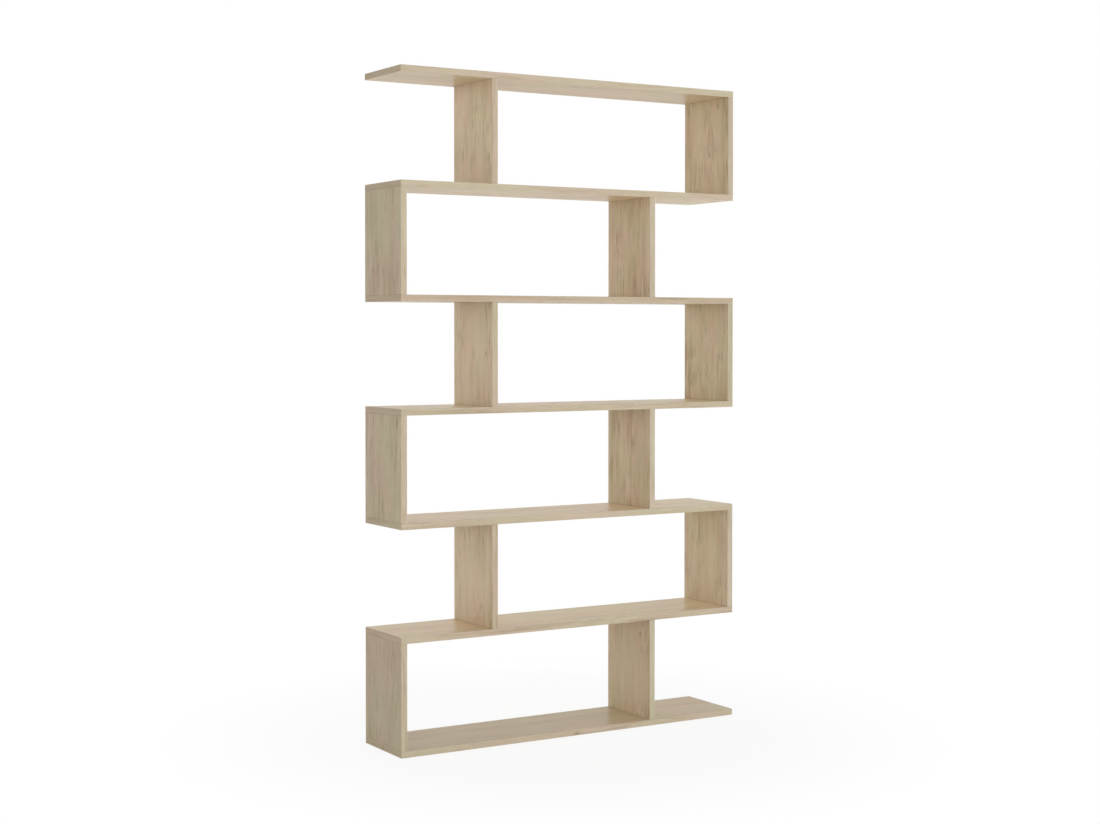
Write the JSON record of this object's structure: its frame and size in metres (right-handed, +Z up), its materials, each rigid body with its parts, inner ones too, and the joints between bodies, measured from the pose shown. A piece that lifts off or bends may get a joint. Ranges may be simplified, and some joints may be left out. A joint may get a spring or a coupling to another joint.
{
  "type": "zigzag bookshelf",
  "caption": "Tall open bookshelf of oak-effect boards: full-width shelves on uprights that step left and right by turns, joined by cam fittings and dowels.",
  "frame": {"origin": "on the floor, under the middle of the bottom shelf", "axes": "+Z up, the front faces -Y, +X to the right as seen from the front"},
  "size_m": [1.0004, 0.2, 1.684],
  "materials": {
    "oak_board": "light oak melamine, satin",
    "oak_edging": "light oak printed edging, satin",
    "oak_cover": "light oak printed foil, satin",
    "beech_dowel": "raw beech",
    "zinc_cam": "die-cast zinc",
    "plated_steel": "bright zinc plating"
  },
  "bodies": {
    "root": {"bottom_shelf": "oak_board", "second_shelf": "oak_board", "third_shelf": "oak_board", "fourth_shelf": "oak_board", "fifth_shelf": "oak_board", "sixth_shelf": "oak_board", "top_shelf": "oak_board", "tier_1_left_upright": "oak_board", "tier_1_right_upright": "oak_board", "tier_2_left_upright": "oak_board", "tier_2_right_upright": "oak_board", "tier_3_left_upright": "oak_board", "tier_3_right_upright": "oak_board", "tier_4_left_upright": "oak_board", "tier_4_right_upright": "oak_board", "tier_5_left_upright": "oak_board", "tier_5_right_upright": "oak_board", "tier_6_left_upright": "oak_board", "tier_6_right_upright": "oak_board", "bottom_shelf_edging": "oak_edging", "second_shelf_edging": "oak_edging", "third_shelf_edging": "oak_edging", "fourth_shelf_edging": "oak_edging", "fifth_shelf_edging": "oak_edging", "sixth_shelf_edging": "oak_edging", "top_shelf_edging": "oak_edging", "tier_1_left_upright_edging": "oak_edging", "tier_1_right_upright_edging": "oak_edging", "tier_2_left_upright_edging": "oak_edging", "tier_2_right_upright_edging": "oak_edging", "tier_3_left_upright_edging": "oak_edging", "tier_3_right_upright_edging": "oak_edging", "tier_4_left_upright_edging": "oak_edging", "tier_4_right_upright_edging": "oak_edging", "tier_5_left_upright_edging": "oak_edging", "tier_5_right_upright_edging": "oak_edging", "tier_6_left_upright_edging": "oak_edging", "tier_6_right_upright_edging": "oak_edging", "dowels": "beech_dowel", "cam_bolts": "plated_steel", "cam_locks": "zinc_cam", "cam_covers": "oak_cover", "wall_bracket": "plated_steel", "bracket_screws": "plated_steel"}
  },
  "joints": []
}
